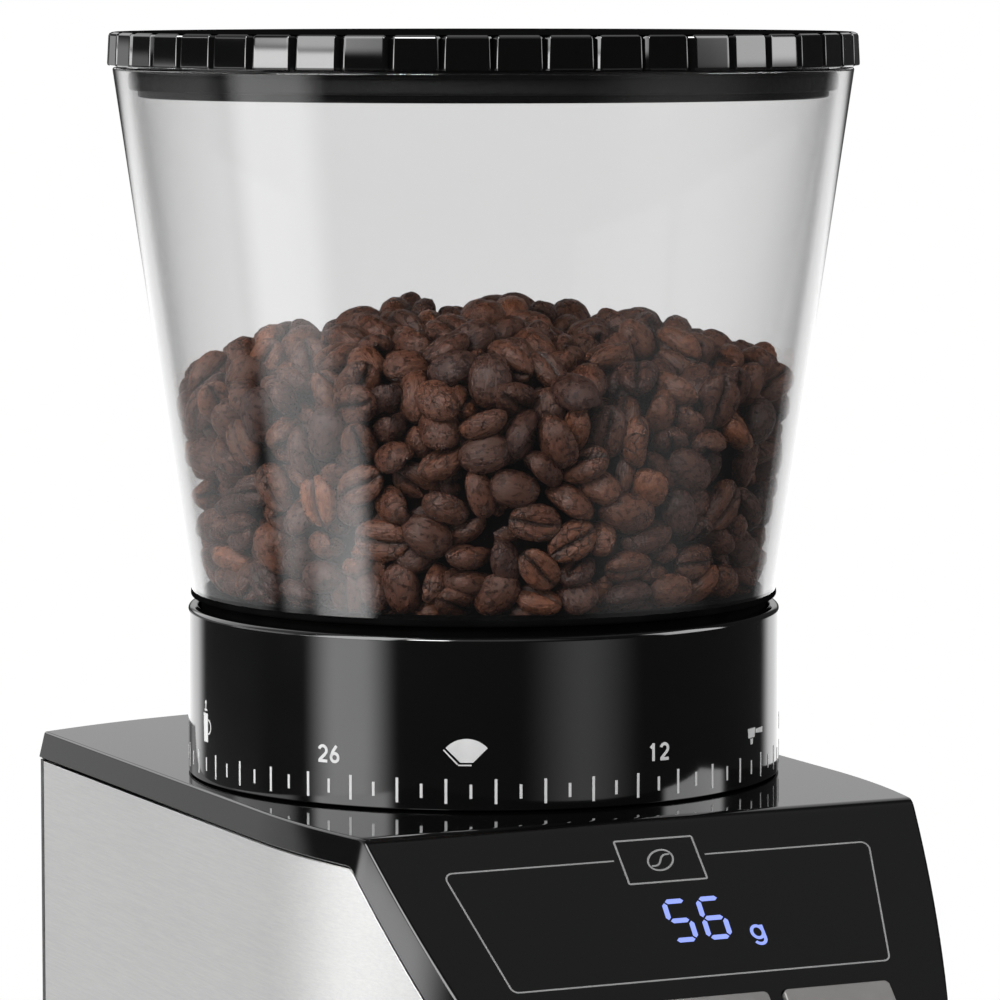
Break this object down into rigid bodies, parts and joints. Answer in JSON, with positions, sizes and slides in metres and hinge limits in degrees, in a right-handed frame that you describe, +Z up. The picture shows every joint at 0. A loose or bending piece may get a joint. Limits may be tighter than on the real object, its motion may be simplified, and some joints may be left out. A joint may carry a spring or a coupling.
{
  "type": "burr coffee grinder",
  "caption": "Countertop burr coffee grinder with a conical clear hopper, a grind setting ring, a sloping display panel and a grounds container on a built-in scale.",
  "frame": {"origin": "middle of the standing surface, at the bottom of the feet", "axes": "+Z up, front towards -Y, +X to the right when seen from the front"},
  "size_m": [0.1598, 0.2531, 0.398],
  "materials": {
    "gloss_black": "piano-black gloss moulding",
    "matt_black": "fine-textured moulding",
    "steel_panel": "brushed along the front-to-back direction",
    "clear_plastic": "clear plastic, slightly grey",
    "rubber": "matt",
    "key_grey": "satin metallic paint",
    "hard_steel": "machined",
    "motor_can": "pressed can with windings inside",
    "nylon": "moulded",
    "board": "circuit board",
    "display": "dark display block",
    "silicone": "silicone"
  },
  "bodies": {
    "chassis": {"base_plate": "matt_black", "foot_rear_left": "rubber", "foot_rear_right": "rubber", "foot_front_left": "rubber", "foot_front_right": "rubber", "base_screw_rear_left": "hard_steel", "base_screw_rear_right": "hard_steel", "base_screw_front_left": "hard_steel", "base_screw_front_right": "hard_steel", "base_housing": "gloss_black", "load_cell": "hard_steel", "top_cover": "gloss_black", "right_side_panel": "steel_panel", "left_side_panel": "steel_panel", "rear_cover": "matt_black", "cord_inlet": "rubber", "column_cover": "matt_black", "head_housing": "gloss_black", "inner_frame": "matt_black", "gearbox_housing": "matt_black", "gearbox_cover": "matt_black", "lower_bearing": "hard_steel", "upper_bearing": "hard_steel", "motor": "motor_can", "motor_damper": "rubber", "burr_housing": "matt_black", "grounds_chute": "matt_black", "control_board": "board", "display_module": "display", "main_board": "board", "hopper_switch": "matt_black"},
    "drive": {"drive_shaft": "hard_steel", "drive_gear": "nylon", "impeller": "matt_black", "lower_burr": "hard_steel", "shaft_nut": "hard_steel"},
    "rotor": {"motor_shaft": "hard_steel", "pinion": "hard_steel", "cooling_fan": "matt_black"},
    "ring": {"grind_ring": "gloss_black"},
    "carrier": {"burr_carrier": "matt_black", "upper_burr": "hard_steel"},
    "hopper": {"hopper_bowl": "clear_plastic", "hopper_base": "gloss_black", "hopper_gasket": "silicone"},
    "lid": {"hopper_lid": "gloss_black", "lid_seal": "rubber"},
    "left_key": {"left_button": "key_grey"},
    "middle_key": {"middle_button": "key_grey"},
    "right_key": {"right_button": "key_grey"},
    "start_key": {"start_button": "key_grey"},
    "scale": {"scale_plate": "steel_panel"},
    "container": {"grounds_container": "clear_plastic"},
    "container_lid": {"container_lid": "matt_black"}
  },
  "joints": [
    {"name": "ring_turn", "type": "hinge", "parent": "chassis", "child": "ring", "pos_m": [0, 0.0183, 0.25], "axis": [0, 0, 1], "range_deg": [-60, 115.4]},
    {"name": "carrier_feed", "type": "slide", "parent": "ring", "child": "carrier", "axis": [0, 0, 1], "range_m": [-0.0003, 0.0005]},
    {"name": "burr_spin", "type": "hinge", "parent": "chassis", "child": "drive", "pos_m": [0, 0.0183, 0.2], "axis": [0, 0, 1], "continuous": true},
    {"name": "motor_spin", "type": "hinge", "parent": "chassis", "child": "rotor", "pos_m": [0, 0.0543, 0.12], "axis": [0, 0, 1], "continuous": true},
    {"name": "hopper_lift", "type": "slide", "parent": "chassis", "child": "hopper", "axis": [0, 0, 1], "range_m": [0, 0.13]},
    {"name": "lid_lift", "type": "slide", "parent": "hopper", "child": "lid", "axis": [0, 0, 1], "range_m": [0, 0.06]},
    {"name": "left_press", "type": "slide", "parent": "chassis", "child": "left_key", "axis": [0, 0.7193, -0.6947], "range_m": [0, 0.0008], "stiffness_N_per_m": 500, "springref_m": -0.0005},
    {"name": "middle_press", "type": "slide", "parent": "chassis", "child": "middle_key", "axis": [0, 0.7193, -0.6947], "range_m": [0, 0.0008], "stiffness_N_per_m": 500, "springref_m": -0.0005},
    {"name": "right_press", "type": "slide", "parent": "chassis", "child": "right_key", "axis": [0, 0.7193, -0.6947], "range_m": [0, 0.0008], "stiffness_N_per_m": 500, "springref_m": -0.0005},
    {"name": "start_press", "type": "slide", "parent": "chassis", "child": "start_key", "axis": [0, 0.7193, -0.6947], "range_m": [0, 0.0008], "stiffness_N_per_m": 500, "springref_m": -0.0005},
    {"name": "scale_press", "type": "slide", "parent": "chassis", "child": "scale", "axis": [0, 0, -1], "range_m": [0, 0.0005], "stiffness_N_per_m": 20000, "springref_m": -0.0004},
    {"name": "container_slide", "type": "slide", "parent": "scale", "child": "container", "axis": [0, -1, 0], "range_m": [0, 0.16]},
    {"name": "container_lid_lift", "type": "slide", "parent": "container", "child": "container_lid", "axis": [0, 0, 1], "range_m": [0, 0.01]}
  ],
  "couplings": [
    {"joint": "carrier_feed", "follows": "ring_turn", "m_per_rad": 0.00023873},
    {"joint": "motor_spin", "follows": "burr_spin", "ratio": -4}
  ]
}
